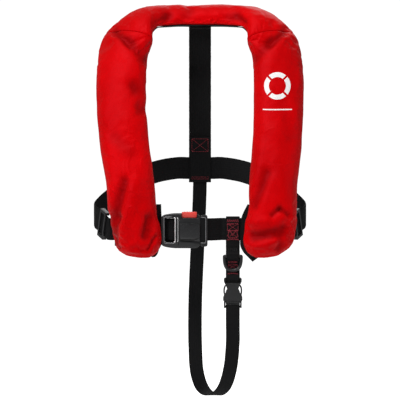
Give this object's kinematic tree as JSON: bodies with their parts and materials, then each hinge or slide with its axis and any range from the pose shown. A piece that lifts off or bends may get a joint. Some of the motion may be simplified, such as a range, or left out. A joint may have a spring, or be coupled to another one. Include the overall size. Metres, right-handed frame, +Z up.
{
  "type": "inflatable life jacket",
  "caption": "Folded inflatable life jacket: red horseshoe cover, black belt with push-button chest buckle, back strap, and a crotch strap with D-ring and side-release buckle",
  "frame": {"origin": "middle of the collar's underside, where the jacket hangs on the back of the neck", "axes": "+Z up along the jacket's length, +Y towards the wearer's back, +X to the right as seen from in front"},
  "size_m": [0.3804, 0.2453, 0.6977],
  "materials": {
    "cover_fabric": "woven coated nylon, soft sheen",
    "lining_fabric": "woven black nylon",
    "webbing": "ribbed polyester webbing",
    "black_plastic": "moulded acetal, satin",
    "red_plastic": "moulded, satin",
    "steel": "polished round bar",
    "bladder_fabric": "coated nylon",
    "inflator_plastic": "moulded",
    "gas_metal": "plated steel",
    "cap_plastic": "moulded",
    "tube_rubber": "smooth",
    "whistle_plastic": "moulded"
  },
  "bodies": {
    "jacket": {"back_patch": "webbing", "back_strap": "webbing", "belt_back": "webbing", "belt_free": "webbing", "belt_front_left": "webbing", "belt_front_right": "webbing", "belt_tail_left": "webbing", "belt_tail_right": "webbing", "belt_tunnel_left": "lining_fabric", "belt_tunnel_right": "lining_fabric", "bladder": "bladder_fabric", "buckle_back_plate": "black_plastic", "buckle_bar": "steel", "buckle_face_plate": "black_plastic", "buckle_housing": "black_plastic", "button_spring": "steel", "cartridge_cap": "cap_plastic", "clip_socket": "black_plastic", "cover_collar": "cover_fabric", "cover_left": "cover_fabric", "cover_right": "cover_fabric", "crotch_strap": "webbing", "inflator_body": "inflator_plastic", "lining_collar": "lining_fabric", "lining_left": "lining_fabric", "lining_right": "lining_fabric", "oral_tube": "tube_rubber", "ring_keeper": "webbing", "strap_loop": "webbing"},
    "button": {"buckle_button": "red_plastic", "buckle_latch": "black_plastic"},
    "tongue": {"buckle_tongue": "black_plastic"},
    "glide_left": {"tri_glide_left": "black_plastic"},
    "glide_right": {"tri_glide_right": "black_plastic"},
    "ring": {"d_ring": "black_plastic"},
    "plug": {"clip_plug": "black_plastic"},
    "arm_left": {"clip_arm_left": "black_plastic"},
    "arm_right": {"clip_arm_right": "black_plastic"},
    "cylinder": {"gas_cylinder": "gas_metal"},
    "lever": {"firing_lever": "red_plastic"},
    "cap": {"oral_cap": "inflator_plastic"},
    "whistle": {"whistle": "whistle_plastic"}
  },
  "joints": [
    {"name": "button_press", "type": "slide", "parent": "jacket", "child": "button", "axis": [0, 0, -1], "range_m": [0, 0.0035], "stiffness_N_per_m": 900, "deforming": ["button_spring"]},
    {"name": "tongue_pull", "type": "slide", "parent": "jacket", "child": "tongue", "axis": [1, 0, 0], "range_m": [0, 0.028], "deforming": ["belt_free"]},
    {"name": "glide_left_slide", "type": "slide", "parent": "jacket", "child": "glide_left", "axis": [-0.4048, 0.8675, 0.2892], "range_m": [-0.006, 0.006]},
    {"name": "glide_right_slide", "type": "slide", "parent": "jacket", "child": "glide_right", "axis": [0.4048, 0.8675, 0.2892], "range_m": [-0.006, 0.006]},
    {"name": "ring_swing", "type": "hinge", "parent": "jacket", "child": "ring", "pos_m": [0.0585, -0.1582, -0.401], "axis": [-1, 0, 0], "range_deg": [0, 120]},
    {"name": "plug_pull", "type": "slide", "parent": "jacket", "child": "plug", "axis": [0, 0, -1], "range_m": [0, 0.024], "deforming": ["crotch_strap"]},
    {"name": "arm_left_squeeze", "type": "hinge", "parent": "plug", "child": "arm_left", "pos_m": [0.0507, -0.1545, -0.48045], "axis": [0, 1, 0], "range_deg": [0, 7], "stiffness_Nm_per_rad": 0.6},
    {"name": "arm_right_squeeze", "type": "hinge", "parent": "plug", "child": "arm_right", "pos_m": [0.0663, -0.1545, -0.48045], "axis": [0, -1, 0], "range_deg": [0, 7], "stiffness_Nm_per_rad": 0.6},
    {"name": "cylinder_screw", "type": "hinge", "parent": "jacket", "child": "cylinder", "pos_m": [-0.13097, -0.15971, -0.25842], "axis": [0.0514, -0.2071, -0.977], "continuous": true},
    {"name": "lever_fire", "type": "hinge", "parent": "jacket", "child": "lever", "pos_m": [-0.14771, -0.1702, -0.3085], "axis": [0.0065, 0.9783, -0.2071], "range_deg": [0, 60]},
    {"name": "cap_pull", "type": "slide", "parent": "jacket", "child": "cap", "axis": [-0.03, -0.1332, -0.9906], "range_m": [0, 0.01]},
    {"name": "whistle_swing", "type": "hinge", "parent": "jacket", "child": "whistle", "pos_m": [0.11338, -0.16059, -0.29681], "axis": [0.0015, -0.9911, 0.1333], "range_deg": [-10, 10]}
  ],
  "couplings": [
    {"joint": "arm_right_squeeze", "follows": "arm_left_squeeze", "ratio": 1}
  ]
}
